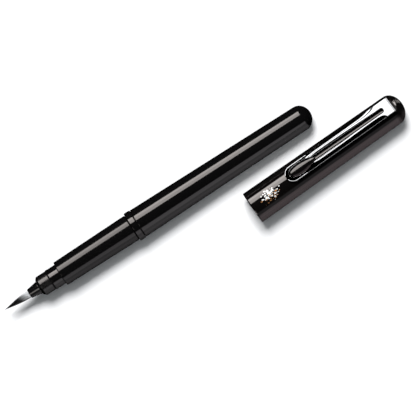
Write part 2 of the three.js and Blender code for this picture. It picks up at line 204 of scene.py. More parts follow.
def rounded(corners, closed, steps=5):
    """An outline of (x, radius) or (x, radius, fillet) corners with its fillets drawn in.

    A short straight is kept beside each fillet, so that smooth shading stays flat beyond it.
    """
    support = 0.12
    outline = []
    count = len(corners)
    for i, corner in enumerate(corners):
        here = Vector(corner[:2])
        fillet = corner[2] if len(corner) > 2 else 0
        at_end = not closed and i in (0, count - 1)
        if fillet == 0 or at_end:
            outline.append(here)
            continue
        back = Vector(corners[i - 1][:2]) - here
        ahead = Vector(corners[(i + 1) % count][:2]) - here
        half = back.angle(ahead) / 2
        trim = min(fillet / math.tan(half), 0.45 * back.length, 0.45 * ahead.length)
        radius = trim * math.tan(half)
        start = here + back.normalized() * trim
        end = here + ahead.normalized() * trim
        centre = here + (back.normalized() + ahead.normalized()).normalized() * (
            radius / math.sin(half)
        )
        swing = (start - centre).angle_signed(end - centre)
        outline.append(start + back.normalized() * min(support, 0.2 * back.length))
        for step in range(steps + 1):
            spoke = start - centre
            spoke.rotate(Matrix.Rotation(-swing * step / steps, 2))
            outline.append(centre + spoke)
        outline.append(end + ahead.normalized() * min(support, 0.2 * ahead.length))
    return [tuple(p) for p in outline]


def turned(lay, corners, sides=96):
    """Vertices and faces of a solid of revolution, whose outline ends on the axis or is a ring."""
    closed = corners[0][1] > 0
    outline = rounded(corners, closed)
    vertices, rings = [], []
    for x, radius in outline:
        if radius < 1e-6:
            rings.append([len(vertices)] * sides)
            vertices.append(lay.point(x, 0, 0))
            continue
        rings.append(list(range(len(vertices), len(vertices) + sides)))
        for i in range(sides):
            angle = 2 * math.pi * i / sides
            spoke = radius * SNUG
            vertices.append(lay.point(x, spoke * math.sin(angle), spoke * math.cos(angle)))
    faces = []
    for a, b in zip(rings, rings[1:] + (rings[:1] if closed else [])):
        for i in range(sides):
            j = (i + 1) % sides
            corner = list(dict.fromkeys([a[i], a[j], b[j], b[i]]))
            if len(corner) > 2:
                faces.append(corner)
    return vertices, faces


def bridged(loops):
    """Faces between loops of corners that follow one another."""
    faces = []
    for a, b in zip(loops, loops[1:]):
        for i in range(len(a)):
            j = (i + 1) % len(a)
            faces.append([a[i], a[j], b[j], b[i]])
    return faces


def swept(lay, stations, section):
    """A bar whose section, a list of (radius, x offset), is carried round a helix.

    Stations are (x, angle, scale), and the bar is closed at both ends.
    """
    vertices, loops = [], []
    root = section[0][0]
    for x, angle, scale in stations:
        loops.append(list(range(len(vertices), len(vertices) + len(section))))
        for radius, offset in section:
            r = (root + (radius - root) * scale) * SNUG
            vertices.append(lay.point(x + offset * scale, r * math.sin(angle), r * math.cos(angle)))
    return vertices, bridged(loops) + [loops[0], loops[-1]]


def joined(*parts):
    """Several lists of vertices and faces as one."""
    vertices, faces = [], []
    for more_vertices, more_faces in parts:
        start = len(vertices)
        vertices += more_vertices
        faces += [[start + i for i in face] for face in more_faces]
    return vertices, faces


def clamped(share):
    """A share kept between 0 and 1."""
    return min(1, max(0, share))


def placed(name, data):
    """An object of the scene made from its data."""
    obj = bpy.data.objects.new(name, data)
    bpy.context.scene.collection.objects.link(obj)
    return obj


def drawn(name, shape):
    """A mesh made from vertices and faces."""
    mesh = bpy.data.meshes.new(name)
    mesh.from_pydata([tuple(v) for v in shape[0]], [], shape[1])
    return mesh


def piece(name, shape, material, body, nodes=(), group="pen"):
    """Makes a piece from vertices and faces, and sets its body, finish and the nodes it replaces.

    The group is the set of pieces that the same cards show in.
    """
    mesh = drawn(name, shape)
    draft = bmesh.new()
    draft.from_mesh(mesh)
    bmesh.ops.remove_doubles(draft, verts=draft.verts, dist=WELD)
    bmesh.ops.dissolve_degenerate(draft, edges=draft.edges, dist=1e-8)
    bmesh.ops.recalc_face_normals(draft, faces=draft.faces)
    for face in draft.faces:
        face.smooth = True
    for edge in draft.edges:
        if len(edge.link_faces) == 2 and edge.calc_face_angle() > CREASE:
            edge.smooth = False
    draft.to_mesh(mesh)
    draft.free()
    mesh.materials.append(material)
    obj = placed(name, mesh)
    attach(obj, body)
    if nodes:
        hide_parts(*nodes)
    collection(group).objects.link(obj)
    return obj


def collection(name):
    """A collection of pieces that cards can be aimed at, made when first asked for."""
    if name not in bpy.data.collections:
        bpy.context.scene.collection.children.link(bpy.data.collections.new(name))
    return bpy.data.collections[name]


# ---- shader maths ---------------------------------------------------------------------------


class Value:
    """A number socket of a shader tree, on which arithmetic adds Math nodes."""

    def __init__(self, finish, socket):
        self.finish = finish
        self.socket = socket

    def _math(self, operation, first, second):
        return self.finish.node(
            "ShaderNodeMath", {"operation": operation}, {0: first, 1: second}
        )

    def __add__(self, other):
        return self._math("ADD", self, other)

    __radd__ = __add__

    def __sub__(self, other):
        return self._math("SUBTRACT", self, other)

    def __rsub__(self, other):
        return self._math("SUBTRACT", other, self)

    def __mul__(self, other):
        return self._math("MULTIPLY", self, other)

    __rmul__ = __mul__

    def __lt__(self, other):
        return self._math("LESS_THAN", self, other)


class Finish:
    """A material under construction, around one Principled shader."""

    def __init__(self, name, **uniform):
        self.material = bpy.data.materials.new(name)
        self.material.use_nodes = True
        self.tree = self.material.node_tree
        self.shader = self.tree.nodes["Principled BSDF"]
        for socket, value in uniform.items():
            self.shader.inputs[socket.replace("_", " ")].default_value = value

    def node(self, kind, settings=None, sockets=None, output=0):
        """Adds a node, sets it up, wires its sockets, and wraps the output asked for."""
        made = self.tree.nodes.new(kind)
        for name, value in (settings or {}).items():
            setattr(made, name, value)
        for socket, value in (sockets or {}).items():
            self._plug(made.inputs[socket], value)
        return Value(self, made.outputs[output])

    def feed(self, **sockets):
        """Wires values into the Principled shader's own sockets."""
        for socket, value in sockets.items():
            self._plug(self.shader.inputs[socket.replace("_", " ")], value)
        return self.material

    def noise(self, scale, detail=3, stretch=(1, 1, 1)):
        """Noise over the piece at a number of waves a metre."""
        place = self.node("ShaderNodeTexCoord", output="Object")
        place = self.node(
            "ShaderNodeVectorMath", {"operation": "MULTIPLY"}, {0: place, 1: stretch}
        )
        return self.node(
            "ShaderNodeTexNoise", None, {"Vector": place, "Scale": scale, "Detail": detail}
        )

    def station(self, lay):
        """Distance along an axis from its origin, in metres."""
        place = self.node("ShaderNodeTexCoord", output="Object")
        along = self.node(
            "ShaderNodeVectorMath",
            {"operation": "DOT_PRODUCT"},
            {0: place, 1: tuple(lay.along)},
            output="Value",
        )
        return along - lay.origin.dot(lay.along)

    def blend(self, mask, low, high):
        """A colour that runs from low to high as the mask goes from 0 to 1."""
        return self.node(
            "ShaderNodeMix", {"data_type": "RGBA"}, {0: mask, 6: low, 7: high}, output=2
        )

    def spread(self, mask, low, high, stops=(0.0, 1.0)):
        """A number that runs from low to high as the mask crosses the stops."""
        return self.node(
            "ShaderNodeMapRange", None, {0: mask, 1: stops[0], 2: stops[1], 3: low, 4: high}
        )

    def bump(self, height, strength, distance):
        """A normal that follows a height, over a distance in metres."""
        return self.node(
            "ShaderNodeBump", None, {"Strength": strength, "Distance": distance, "Height": height}
        )

    def _plug(self, socket, value):
        if isinstance(value, Value):
            self.tree.links.new(value.socket, socket)
        elif socket.type == "RGBA":
            socket.default_value = (*value, 1)
        else:
            socket.default_value = value


# ---- finishes -------------------------------------------------------------------------------


def tinted(colour, times, more=0.0):
    """A colour whose channels are multiplied and lifted, and kept at 1 or less."""
    return tuple(min(1, channel * times + more) for channel in colour)


def moulded_gloss(name, colour, roughness=0.06, ior=1.5, satin_to=None):
    """Polished moulded plastic: faint dust, hairline rubbing marks and a trace of sink.

    It can be satin up to a station along the pen, in mm.
    """
    finish = Finish(name, IOR=ior)
    dust = finish.spread(finish.noise(2600, 5), 0, 1, (0.62, 0.8))
    rubbed = finish.noise(900, 4, (0.12, 1, 1))
    sink = finish.noise(70, 1)
    sheen = roughness + rubbed * 0.05
    if satin_to is not None:
        sheen = sheen + (finish.station(PEN) < satin_to * MM) * 0.14
    return finish.feed(
        Base_Color=finish.blend(dust * 0.6, colour, tinted(colour, 3, 0.004)),
        Roughness=sheen,
        Normal=finish.bump(sink, 0.04, 0.00002),
    )


def satin_plastic(name, colour, roughness=0.32):
    """Fine-textured plastic with a soft sheen."""
    finish = Finish(name, IOR=1.48)
    grain = finish.noise(5200, 4)
    mottle = finish.noise(420, 3)
    return finish.feed(
        Base_Color=finish.blend(mottle, colour, tinted(colour, 1.5, 0.003)),
        Roughness=roughness + mottle * 0.12,
        Normal=finish.bump(grain, 0.12, 0.00001),
    )


def chrome_plate(name, colour):
    """Bright plate with faint polishing lines along the strip."""
    finish = Finish(name, Metallic=1.0)
    lines = finish.noise(1500, 3, (0.05, 1, 1))
    cloud = finish.noise(160, 2)
    return finish.feed(
        Base_Color=finish.blend(cloud, tinted(colour, 0.9), colour),
        Roughness=0.01 + lines * 0.03,
        Normal=finish.bump(lines, 0.03, 0.00001),
    )


def polished_steel(name, colour):
    """Bright steel with fine pits."""
    finish = Finish(name, Metallic=1.0)
    pits = finish.noise(3000, 3)
    return finish.feed(
        Base_Color=finish.blend(pits, tinted(colour, 0.85), colour),
        Roughness=0.08 + pits * 0.1,
    )


def soft_rubber(name, colour):
    """Dull rubber with a pale bloom."""
    finish = Finish(name, IOR=1.45)
    bloom = finish.noise(900, 4)
    return finish.feed(
        Base_Color=finish.blend(bloom, colour, tinted(colour, 1, 0.02)),
        Roughness=0.6 + bloom * 0.25,
        Normal=finish.bump(finish.noise(6000, 2), 0.2, 0.00001),
    )


def milky_plastic(name, colour, clear):
    """Translucent bottle plastic, with flow marks along it."""
    finish = Finish(name, IOR=1.49, Transmission_Weight=clear)
    flow = finish.noise(300, 3, (0.15, 1, 1))
    return finish.feed(
        Base_Color=finish.blend(flow, colour, tinted(colour, 1.12)),
        Roughness=0.18 + flow * 0.15,
    )


def liquid_ink(name, colour):
    """Still liquid ink."""
    finish = Finish(name, IOR=1.36)
    settled = finish.noise(250, 2)
    return finish.feed(
        Base_Color=finish.blend(settled, colour, tinted(colour, 2)),
        Roughness=0.02 + settled * 0.04,
    )


def inked_bristle(name, white, ink):
    """Nylon fibre that turns black where the mesh's attribute says so: ink, plus painted shade on one side.
    """
    finish = Finish(name, IOR=1.5)
    ink_and_shade = finish.node("ShaderNodeAttribute", {"attribute_name": "ink_and_shade"}, output="Fac")
    streak = finish.noise(4200, 3, (0.1, 1, 1))
    dry = finish.blend(streak, tinted(white, 0.86), white)
    return finish.feed(
        # the attribute holds real ink and painted shade alike
        Base_Color=finish.blend(ink_and_shade, dry, ink),
        Roughness=0.5 - ink_and_shade * 0.22 + streak * 0.08,
    )


def printed_fleck(name, colour, metallic):
    """Screen-printed or foil fleck, slightly uneven in its cover."""
    finish = Finish(name, Metallic=metallic)
    cover = finish.noise(2400, 3)
    return finish.feed(
        Base_Color=finish.blend(cover, tinted(colour, 0.8), colour),
        Roughness=0.25 + cover * 0.2,
    )


# ---- pen ------------------------------------------------------------------------------------


def barrel_outline(size):
    """A tapered tube with a domed tail, a threaded mouth and a blind bore."""
    front, tail, mouth = PEN.reach("barrel")
    shoulder = tail - size.dome_depth
    radius = PEN.radius("barrel", shoulder - 0.5, shoulder + 0.5)
    dome, steps = [(tail, 0)], 16
    for i in range(1, steps + 1):
        angle = math.pi / 2 * (1 - i / steps)
        dome.append((shoulder + size.dome_depth * math.sin(angle), radius * math.cos(angle)))
    bore = joint_bore()
    return dome + [
        (shoulder - 0.15, radius + 0.002),
        (front + 20, mouth - 0.24),
        (front, mouth, size.edge),
        (front, bore, 0.15),
        (front + 7.8, bore),
        (front + 8.1, bore - 0.17),
        (tail - 6.5, 3.5, 0.3),
        (tail - 3.9, 3.0, 0.3),
        (tail - 2.0, 0),
    ]


def joint_bore():
    """Radius of the barrel's mouth, where the thread of the section runs."""
    spots = PEN.vertices("barrel")
    mouth = spots[spots[:, 0] < spots[:, 0].min() + 0.02]
    return float(np.hypot(mouth[:, 1], mouth[:, 2]).min())


def ring_outline(size):
    """A band a little proud of the pen, with a pocket in front for its rubber seal."""
    front, _, radius = PEN.reach("step_ring")
    front = front - GAP + size.seam
    rear = PEN.reach("barrel")[0] - size.seam
    pocket, bore, wall = 5.05, 4.3, 0.5
    return [
        (front, pocket, 0.06),
        (front, radius, RIM_FILLET),
        (rear, radius, RIM_FILLET),
        (rear, bore, 0.06),
        (rear - wall, bore, 0.04),
        (rear - wall, pocket, 0.04),
    ]


def hoop(x, radius, thickness, points=14):
    """Outline of a ring of round rubber."""
    outline = []
    for i in range(points):
        angle = 2 * math.pi * i / points
        outline.append((x + thickness * math.cos(angle), radius + thickness * math.sin(angle)))
    return outline


def section_outline(size):
    """A tapered grip and its spigot, round a bore that narrows to a neck."""
    front, rear, shoulder_radius = PEN.reach("section_shell")
    nose = PEN.radius("section_shell", front, front + 1)
    shoulder = PEN.reach("step_ring")[0] - GAP
    spigot = PEN.radius("section_shell", shoulder + 1, rear)
    thread_root, bore, neck, neck_start = 3.6, 3.4, 2.75, 50.5
    return [
        (front, bore, 0.1),
        (front, nose, size.edge),
        (shoulder, shoulder_radius, RIM_FILLET),
        (shoulder, spigot, 0.08),
        (shoulder + 2.9, spigot, 0.12),
        (shoulder + 3.1, thread_root),
        (rear, thread_root, 0.15),
        (rear, neck, 0.1),
        (neck_start, neck),
        (neck_start, bore),
    ]


def section_thread(size):
    """A helical ridge that fades out at both ends."""
    start = PEN.reach("section_shell")[1] - 6.0
    turns, run_out = 4.1, 0.5
    steps = int(turns * 48)
    stations = []
    for i in range(steps + 1):
        turn = turns * i / steps
        fade = min(1, turn / run_out, (turns - turn) / run_out)
        stations.append((start + size.pitch * turn, 2 * math.pi * turn, max(0.02, fade)))
    root, crest = 3.56, 3.93
    ridge = [(root, -0.42), (crest, -0.12), (crest, 0.12), (root, 0.42)]
    return swept(PEN, stations, ridge)


def collar_outline(size):
    """A bevelled collar with a bead, a little wider behind it, and the spigot that holds it."""
    front, rear, bead = PEN.reach("tip_collar")
    body = PEN.radius("tip_collar", front, front + 2)
    behind = body + 0.11
    seat = PEN.reach("section_shell")[0] - size.seam
    nose = front - GAP + size.seam
    bore, spigot = 2.45, 3.1
    return [
        (nose, bore, 0.08),
        (nose, 2.75, 0.12),
        (front + 0.55, body, 0.16),
        (front + 4.25, body, 0.03),
        (front + 4.8, bead, 0.14),
        (front + 5.4, behind, 0.03),
        (seat, behind, 0.1),
        (seat, spigot, 0.05),
        (rear, spigot, 0.15),
        (rear, bore, 0.1),
    ]


def cone_outline():
    """A short cone with a lip round the tuft, and the spigot that holds it."""
    mouth, rear, wide = PEN.reach("nose_cone")
    narrow = PEN.radius("nose_cone", mouth, mouth + 0.3)
    base = mouth + 4.1
    lip, bore, spigot = 1.45, 1.6, 2.1
    return [
        (mouth, lip, 0.05),
        (mouth, narrow, 0.1),
        (base, wide, 0.14),
        (base, spigot, 0.05),
        (rear, spigot, 0.1),
        (rear, bore, 0.1),
        (mouth + 0.5, bore, 0.1),
        (mouth + 0.25, lip),
    ]


def tuft_radius(x, root, thick, swell=1.15):
    """Radius of the tuft at x: it swells from a fine tip to its root at the cone's mouth."""
    return thick * math.sin(clamped(x / root) * math.pi / 2) ** swell


def tuft_core(steps=24):
    """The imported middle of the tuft, a little thinner than the whole."""
    _, root, thick = PEN.reach("brush_tuft")
    tip, share = 0.2, 0.94
    outline = [(root + TUFT_HOLD, 0), (root + TUFT_HOLD, thick * share), (root, thick * share)]
    for i in range(1, steps):
        x = root - (root - tip) * i / steps
        outline.append((x, share * tuft_radius(x, root, thick)))
    return turned(PEN, outline + [(tip, 0)], 48)


def tuft_fibres(size, seed=7):
    """Tapering bristles laid side by side over the core, gathered into one fine tip."""
    _, root, thick = PEN.reach("brush_tuft")
    jitter, sunk, shortfall, twisted = 0.7, 0.16, 2.6, 0.12
    steps = 15
    draw = random.Random(seed)
    vertices, faces = [], []
    for k in range(size.fibres):
        bearing = 2 * math.pi * (k + draw.random() * jitter) / size.fibres
        depth = 1 - sunk * draw.random() ** 2
        end = 0.02 + shortfall * draw.random() ** 2.2
        twist = draw.uniform(-twisted, twisted)
        loops = []
        for i in range(steps + 1):
            along = i / steps
            x = root + TUFT_HOLD + (end - root - TUFT_HOLD) * along
            angle = bearing + twist * along
            width = size.fibre_width / 2 * (1 - along) ** 0.5 + 0.002
            r = max(0, depth * tuft_radius(x, root, thick) - width) * SNUG
            loops.append(list(range(len(vertices), len(vertices) + 3)))
            for corner in range(3):
                turn = angle + 2 * math.pi * corner / 3
                y = r * math.sin(angle) + width * math.sin(turn)
                z = r * math.cos(angle) + width * math.cos(turn)
                vertices.append(PEN.point(x, y, z))
        faces += bridged(loops) + [loops[0], loops[-1]]
    return vertices, faces


def soak(obj, front, seed=3):
    """Marks how black each point of the tuft is: ink soaked in unevenly from the tip, plus painted shade on
    the side away from the key lamp.
    """
    _, root, thick = PEN.reach("brush_tuft")
    lean, fade, shade_band_start = 0.8, 3.2, 0.72
    draw = random.Random(seed)
    phases = [(draw.uniform(2, 9), draw.uniform(0, 6.3), draw.uniform(0.2, 0.6)) for _ in range(5)]
    ink_and_shade = obj.data.attributes.new("ink_and_shade", "FLOAT", "POINT")
    values = []
    for vertex in obj.data.vertices:
        offset = (vertex.co - PEN.origin) / MM
        x, y, z = offset.dot(PEN.along), offset.dot(PEN.across), offset.dot(PEN.upright)
        angle = math.atan2(y, z)
        ragged = sum(size * math.sin(angle * round(waves) + phase) for waves, phase, size in phases)
        # painted shade: the black reaches further towards the root on the side away from the key lamp
        reach = front + 0.3 * ragged - lean * y
        inked = clamped((reach - x) / fade) ** 0.7
        # painted shade: a dark band runs along the side of the tuft away from the key lamp
        away_from_key = -y / max(0.2, tuft_radius(x, root, thick))
        edge = clamped((away_from_key - shade_band_start) * 5)
        values.append(max(inked, 0.8 * edge))
    ink_and_shade.data.foreach_set("value", values)


def root_outline():
    """The bound root of the bristles, with a socket behind."""
    front, rear, radius = PEN.reach("tuft_base")
    socket, floor = 0.85, rear - 2
    return [
        (front, 0),
        (front, 1.15, 0.1),
        (rear - 2.4, radius, 0.1),
        (rear, radius, 0.08),
        (rear, socket, 0.05),
        (floor, socket),
        (floor, 0),
    ]


def tube_outline(bore=0.28):
    """A plain thin tube."""
    front, rear, radius = PEN.reach("feed_tube")
    return [(front, bore), (front, radius, 0.04), (rear, radius, 0.04), (rear, bore)]


def feed_outline(size):
    """A nose, a plain shank and a comb of fins."""
    front, rear, fin = PEN.reach("feed")
    step, comb = front + 2.1, PEN.reach("tip_collar")[1] + 0.4
    bore, nose, shank, core, thick = 0.85, 1.3, 2.1, 2.0, 0.6
    outline = [
        (front, bore, 0.05),
        (front, nose, 0.1),
        (step, nose, 0.08),
        (step, shank, 0.1),
        (comb, shank, 0.05),
        (comb, core, 0.02),
    ]
    pitch = (rear - comb - 0.2) / size.fins
    for i in range(size.fins):
        x = comb + 0.05 + pitch * i
        outline += [(x, core, 0.06), (x, fin, 0.08), (x + thick, fin, 0.08), (x + thick, core, 0.06)]
    return outline + [(rear, core, 0.05), (rear, bore, 0.05)]


def plug_outline():
    """A grooved disc with the hollow nipple that the cartridge is pushed on to."""
    front, tip, disc = PEN.reach("cartridge_spigot")
    back, groove = front + 3.7, disc - 0.25
    bore, nipple = 0.55, 1.15
    return [
        (front, bore, 0.05),
        (front, disc, 0.12),
        (front + 1.5, disc, 0.1),
        (front + 1.6, groove, 0.05),
        (front + 2.1, groove, 0.05),
        (front + 2.2, disc, 0.1),
        (back, disc, 0.12),
        (back, nipple, 0.2),
        (tip - 0.6, nipple, 0.1),
        (tip, 0.85, 0.06),
        (tip, bore, 0.04),
    ]


def cartridge_outline():
    """A thin-walled bottle with a ring round its base and a grooved neck."""
    front, rear, body = PEN.reach("cartridge_body")
    shoulder = PEN.reach("section_shell")[1]
    floor, bore = rear - 0.8, body - 0.5
    neck, neck_groove, neck_bore = 2.4, 2.15, 1.5
    return [
        (rear, 0),
        (rear, body, 0.5),
        (rear - 3.0, body, 0.05),
        (rear - 3.15, body - 0.1, 0.05),
        (rear - 3.6, body - 0.1, 0.05),
        (rear - 3.75, body, 0.05),
        (shoulder + 0.8, body, 0.4),
        (shoulder, neck, 0.3),
        (front + 1.5, neck, 0.08),
        (front + 1.4, neck_groove, 0.05),
        (front + 0.9, neck_groove, 0.05),
        (front + 0.8, neck, 0.08),
        (front, neck, 0.3),
        (front, neck_bore, 0.08),
        (shoulder + 0.8, neck_bore, 0.2),
        (shoulder + 1.8, bore, 0.3),
        (floor, bore, 0.3),
        (floor, 0),
    ]


def ball(steps=20):
    """The steel ball that seals the cartridge until it is pushed in."""
    spots = PEN.vertices("cartridge_ball")
    centre = (spots.min(axis=0) + spots.max(axis=0)) / 2
    radius = (spots[:, 0].max() - spots[:, 0].min()) / 2
    place = Lay(PEN.point(*centre), PEN.along, PEN.upright)
    outline = [(radius, 0)]
    for i in range(1, steps):
        angle = math.pi * i / steps
        outline.append((radius * math.cos(angle), radius * math.sin(angle)))
    return turned(place, outline + [(-radius, 0)], 40)


def ink_body():
    """A rounded column of ink, cut level."""
    front, rear, radius = PEN.reach("ink_charge")
    level = float(PEN.vertices("ink_charge")[:, 2].max())
    column = [(front, 0), (front, radius, 0.4), (rear, radius, 0.4), (rear, 0)]
    vertices, faces = turned(PEN, column, 64)
    draft = bmesh.new()
    corners = [draft.verts.new(v) for v in vertices]
    for face in faces:
        draft.faces.new([corners[i] for i in face])
    bmesh.ops.remove_doubles(draft, verts=draft.verts, dist=WELD)
    plane = PEN.point(0, 0, level - 0.01)
    everything = draft.verts[:] + draft.edges[:] + draft.faces[:]
    bmesh.ops.bisect_plane(
        draft, geom=everything, plane_co=plane, plane_no=PEN.upright, clear_outer=True
    )
    rim = [edge for edge in draft.edges if edge.is_boundary]
    bmesh.ops.edgenet_fill(draft, edges=rim)
    draft.verts.index_update()
    shape = [v.co.copy() for v in draft.verts], [[v.index for v in f.verts] for f in draft.faces]
    draft.free()
    return shape


# ---- cap ------------------------------------------------------------------------------------


def cap_ends():
    """Outer radius of the cap at its mouth and at its crown."""
    _, rear, wide = CAP.reach("cap_shell")
    return wide, CAP.radius("cap_shell", rear - 1, rear)


def cap_outline(size):
    """A tapered tube with a square mouth, whose bore narrows less and less on its way in."""
    front, rear, wide = CAP.reach("cap_shell")
    narrow = cap_ends()[1]
    rear += GAP - size.seam
    mouth_bore, end_bore = 5.3, 4.87
    return [
        (front, mouth_bore, 0.12),
        (front, wide, 0.2),
        (rear, narrow, 0.12),
        (rear, end_bore, 0.08),
        (54.0, 4.91, 0.05),
        (29.3, 4.98, 0.05),
    ]


def flecks(count, seed, spread, drift):
    """Thin irregular patches that lie on the cap's surface near its mouth."""
    draw = random.Random(seed)
    wide, narrow = cap_ends()
    rear = CAP.reach("cap_shell")[1]
    nearest, middle, farthest, widest = 3.2, 7.8, 12.4, 0.5
    proud, sunk = 0.014, -0.05
    vertices, faces = [], []
    for _ in range(count):
        along = draw.gauss(middle, spread)
        bearing = draw.gauss(drift, 0.16)
        if not nearest < along < farthest or abs(bearing) > widest:
            continue
        reach = draw.uniform(0.12, 0.55)
        corners = draw.randint(5, 8)
        lean = draw.uniform(0, math.pi)
        rim = []
        for i in range(corners):
            angle = 2 * math.pi * i / corners + lean
            size = reach * draw.uniform(0.6, 1.1)
            rim.append((along + size * math.cos(angle), bearing + size * math.sin(angle) * 0.6 / wide))
        start = len(vertices)
        top, low = start + 1, start + 1 + corners
        for x, angle in [(along, bearing)] + rim + rim:
            lift = proud if len(vertices) < low else sunk
            r = (wide + (narrow - wide) * x / rear) * SNUG + lift
            vertices.append(CAP.point(x, r * math.sin(angle), r * math.cos(angle)))
        for i in range(corners):
            j = (i + 1) % corners
            faces.append([start, top + i, top + j])
            faces.append([top + i, top + j, low + j, low + i])
        faces.append([low + i for i in range(corners)])
    return vertices, faces


def crown_outline(size):
    """A domed end with fine turned grooves, on a spigot that fills the cap's end."""
    front, rear, wide = CAP.reach("crown")
    rim, top = CAP.reach("cap_shell")[1] + GAP, rear - 0.01
    spigot, groove = 4.55, 0.16
    outline = [(front, 0), (front, spigot, 0.3), (rim, spigot), (rim, wide, 0.16)]
    steps, spacing = 46, 6
    for i in range(3, steps):
        angle = i / steps * math.pi / 2
        x, r = (top - rim) * math.sin(angle), wide * math.cos(angle)
        sunk = groove if i % spacing == 2 and i < spacing * (size.rings + 1) else 0
        outline.append((rim + x - sunk * math.sin(angle), r - sunk * math.cos(angle)))
    return outline + [(top, 0)]


def inner_cap_outline(grooves=5):
    """A closed cup with shallow grooves round it."""
    front, rear, radius = CAP.reach("inner_cap")
    floor, bore, sunk = rear - 0.8, 4.15, radius - 0.12
    outline = [(rear, 0), (rear, radius, 0.3)]
    for i in range(grooves):
        x = rear - 3 - 4.2 * i
        outline += [(x, radius, 0.06), (x - 0.1, sunk, 0.05)]
        outline += [(x - 0.9, sunk, 0.05), (x - 1.0, radius, 0.06)]
    return outline + [(front, radius, 0.08), (front, bore, 0.08), (floor, bore, 0.4), (floor, 0)]


def seal_outline(bore=4.1, soft=0.12):
    """A flat ring with softened edges."""
    front, rear, radius = CAP.reach("inner_cap_seal")
    return [(front, bore, soft), (front, radius, soft), (rear, radius, soft), (rear, bore, soft)]


# ---- clip -----------------------------------------------------------------------------------

# lengths in mm: the thickness of the clip's sheet and the rounding of its edges, the radius of
# its fold, the end of its slot along the cap, the slot's half width and the tang's half width
SHEET, SHEET_EDGE = 0.6, 0.1
FOLD = 0.9
SLOT_END, SLOT_HALF = 56.7, 0.92
TANG_HALF = 1.8

# distances in mm along the strip, past the level of its head: the end of the fold, the start and
# end of the stretch that narrows to the tang, and the end of the tang
FOLD_END, NECK_START, NECK_END, TANG_END = 0.52, 0.9, 1.35, 3.55


def drop_half_width(along, half):
    """Half width of the boss, round at its foot and running out to a point."""
    taper = 0.8
    fullest = 0.5 / (0.5 + taper)
    scale = math.sqrt(fullest) * (1 - fullest) ** taper
    return half * math.sqrt(max(0, along)) * max(0, 1 - along) ** taper / scale


def opening_half_width(x):
    """Half width of the clip's opening: the seat of the boss, which runs on into the slot."""
    foot, point, _ = CLIP.reach("clip_shoe")
    foot, length = foot - GAP, point - foot + 1.0
    seat = drop_half_width((x - foot) / length, 2.1)
    if x < foot + length * 0.4:
        return seat
    if x > SLOT_END - SLOT_HALF:
        return math.sqrt(max(0, SLOT_HALF**2 - (x - SLOT_END + SLOT_HALF) ** 2))
    return max(seat, SLOT_HALF)


def eased(x, start, end):
    """A share that runs smoothly from 0 at the start to 1 at the end."""
    share = clamped((x - start) / (end - start))
    return share * share * (3 - 2 * share)


def clip_stations():
    """Stations along the clip, as distances from its foot: close together at every curve."""
    foot, head, _ = CLIP.reach("clip")
    level = head - foot
    spans = [
        (0, 3, 26),
        (3, 16, 52),
        (16, 39.5, 40),
        (39.5, level - FOLD, 30),
        (level - FOLD, level + FOLD_END, 14),
        (level + FOLD_END, level + NECK_START, 3),
        (level + NECK_START, level + NECK_END, 10),
        (level + NECK_END, level + TANG_END, 6),
    ]
    stations = [level + TANG_END]
    for start, end, count in spans:
        for i in range(count):
            share = i / count
            if start == 0:
                share = 1 - math.cos(share * math.pi / 2)
            stations.append(start + (end - start) * share)
    slot_end, crowded = SLOT_END - foot, 0.8
    stations += [slot_end - crowded * (1 - math.sin(i / 8 * math.pi / 2)) for i in range(9)]
    seat, crowded = CLIP.reach("clip_shoe")[0] - GAP - foot, 1.6
    stations += [seat + crowded * (1 - math.cos(i / 12 * math.pi / 2)) for i in range(13)]
    return sorted(set(round(station, 4) for station in stations))


def clip_place(run, top):
    """Point on the clip's upper face at a distance from its foot, and the way that face looks."""
    foot, head, _ = CLIP.reach("clip")
    bend = head - foot - FOLD
    turn = FOLD * math.pi / 2
    if run <= bend:
        return (foot + run, top), (0, 1)
    if run < bend + turn:
        angle = (run - bend) / FOLD
        spot = (head - FOLD + FOLD * math.sin(angle), top - FOLD + FOLD * math.cos(angle))
        return spot, (math.sin(angle), math.cos(angle))
    return (head, top - FOLD - (run - bend - turn)), (1, 0)


def blade_height(size, run, y, inner, outer, half):
    """Height of the clip's upper face against a flat strip.

    The paddle's rim slopes away all round, the rails are each a little crowned, and the head is flat.
    """
    foot, head, _ = CLIP.reach("clip")
    x = foot + run
    rim_start, rim_end = 0.4, 0.9
    outward = math.hypot(max(0, half - run), y) / half
    rim = -math.tan(size.paddle_tilt) * half * max(0, min(outward, rim_end) - rim_start)
    width = max(outer - inner, 1e-6)
    crowned = math.tan(size.rail_crown) * (1 - 0.5 * eased(x, 32, 52))
    across = (y - inner) / width - 0.5
    arched = math.tan(size.rail_tilt) * half / 2 * (y / half) ** 2
    rail = -crowned * width * across**2 - arched
    rail *= 1 - eased(x, head - 13, head - 3)
    return rim + (rail - rim) * eased(x, 22, 29)


def blade_ring(inner, outer):
    """Half of the clip's cross-section, as (distance from its middle, height) round the strip."""
    round_in, round_out = min(SHEET_EDGE, inner), min(SHEET_EDGE, outer / 2)
    ring = [(inner, -SHEET), (inner, -round_in)]
    for i in range(1, 5):
        angle = math.pi / 8 * i
        ring.append((inner + round_in * (1 - math.cos(angle)), -round_in * (1 - math.sin(angle))))
    # the face's corners stand closer together towards its outer edge
    low, high = inner + round_in, outer - round_out
    for share in (0.02, 0.12, 0.25, 0.38, 0.5, 0.6, 0.7, 0.78, 0.84, 0.88, 0.92, 0.95, 0.98):
        ring.append((low + (high - low) * share, 0))
    for i in range(5):
        angle = math.pi / 8 * i
        ring.append((outer - round_out * (1 - math.sin(angle)), -round_out * (1 - math.cos(angle))))
    return ring + [(outer, -SHEET)]


